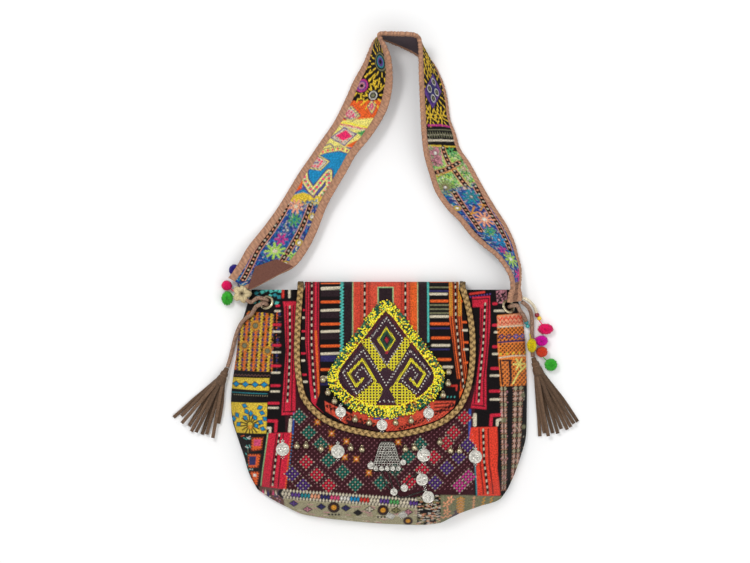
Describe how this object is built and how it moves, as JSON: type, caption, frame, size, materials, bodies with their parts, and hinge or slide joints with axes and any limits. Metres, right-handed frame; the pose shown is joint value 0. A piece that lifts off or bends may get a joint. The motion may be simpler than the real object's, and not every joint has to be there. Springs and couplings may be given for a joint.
{
  "type": "shoulder bag",
  "caption": "Soft shoulder bag lying flat, with a wide strap, a rounded flap over its mouth, a beaded patch, sewn-on metal trim, cords with pompoms, and leather tassels.",
  "frame": {"origin": "on the floor, midway along the bag with its strap and midway across the bag", "axes": "+Z from the floor up through the bag's front, +Y from the bag's bottom to its strap, +X to the right as seen from above"},
  "size_m": [0.4984, 0.5995, 0.0584],
  "materials": {
    "patchwork": "embroidered patchwork",
    "flap_cloth": "embroidered patchwork",
    "braid": "plaited metallic braid",
    "beads": "looped seed beads",
    "dark_beads": "seed beads",
    "strap_cloth": "embroidered patchwork",
    "lining": "plain woven",
    "aged_brass": "aged",
    "silver": "worn",
    "brown_cord": "round cord",
    "cream_cord": "plaited cord",
    "suede": "suede",
    "navy": "yarn",
    "pink": "yarn",
    "magenta": "yarn",
    "green": "yarn",
    "orange": "yarn",
    "yellow": "yarn",
    "teal": "glossy beads",
    "red": "glossy beads"
  },
  "bodies": {
    "root": {"bag_body": "patchwork", "flap": "flap_cloth", "flap_braid": "braid", "bead_patch": "dark_beads", "bead_patch_rim": "beads", "strap": "strap_cloth", "strap_end_fold": "lining", "eyelet_left": "aged_brass", "eyelet_right": "aged_brass", "flap_bell_01": "aged_brass", "flap_bell_02": "aged_brass", "flap_bell_03": "aged_brass", "flap_bell_04": "aged_brass", "flap_bell_05": "aged_brass", "flap_bell_06": "aged_brass", "flap_bell_07": "aged_brass", "flap_bell_08": "aged_brass", "flap_bell_09": "aged_brass", "flap_bell_10": "aged_brass", "flap_coin_01": "silver", "flap_coin_02": "silver", "flap_coin_03": "silver", "front_bell_01": "aged_brass", "front_bell_02": "aged_brass", "front_bell_03": "aged_brass", "front_bell_04": "aged_brass", "front_bell_05": "aged_brass", "front_bell_06": "aged_brass", "front_bell_07": "aged_brass", "front_bell_08": "aged_brass", "front_bell_09": "aged_brass", "front_bell_10": "aged_brass", "front_coin_01": "silver", "front_coin_02": "silver", "front_coin_03": "silver", "front_coin_04": "silver", "drop_coin_01": "silver", "drop_coin_02": "silver", "hem_coin_01": "silver", "hem_coin_02": "silver", "pendant": "silver", "pendant_chains": "silver", "link_cord_left": "brown_cord", "tassel_cord_left": "brown_cord", "bead_cord_right": "brown_cord", "tassel_cord_right": "brown_cord", "cream_cord_right": "cream_cord", "knot_left": "cream_cord", "pompom_left_navy": "navy", "pompom_left_pink": "pink", "pompom_left_green": "green", "pompom_right_pink": "pink", "pompom_right_magenta": "magenta", "pompom_right_orange": "orange", "pompom_right_yellow": "yellow", "pompom_right_green": "green", "teal_beads": "teal", "red_beads": "red", "tassel_left": "suede", "tassel_right": "suede"}
  },
  "joints": []
}
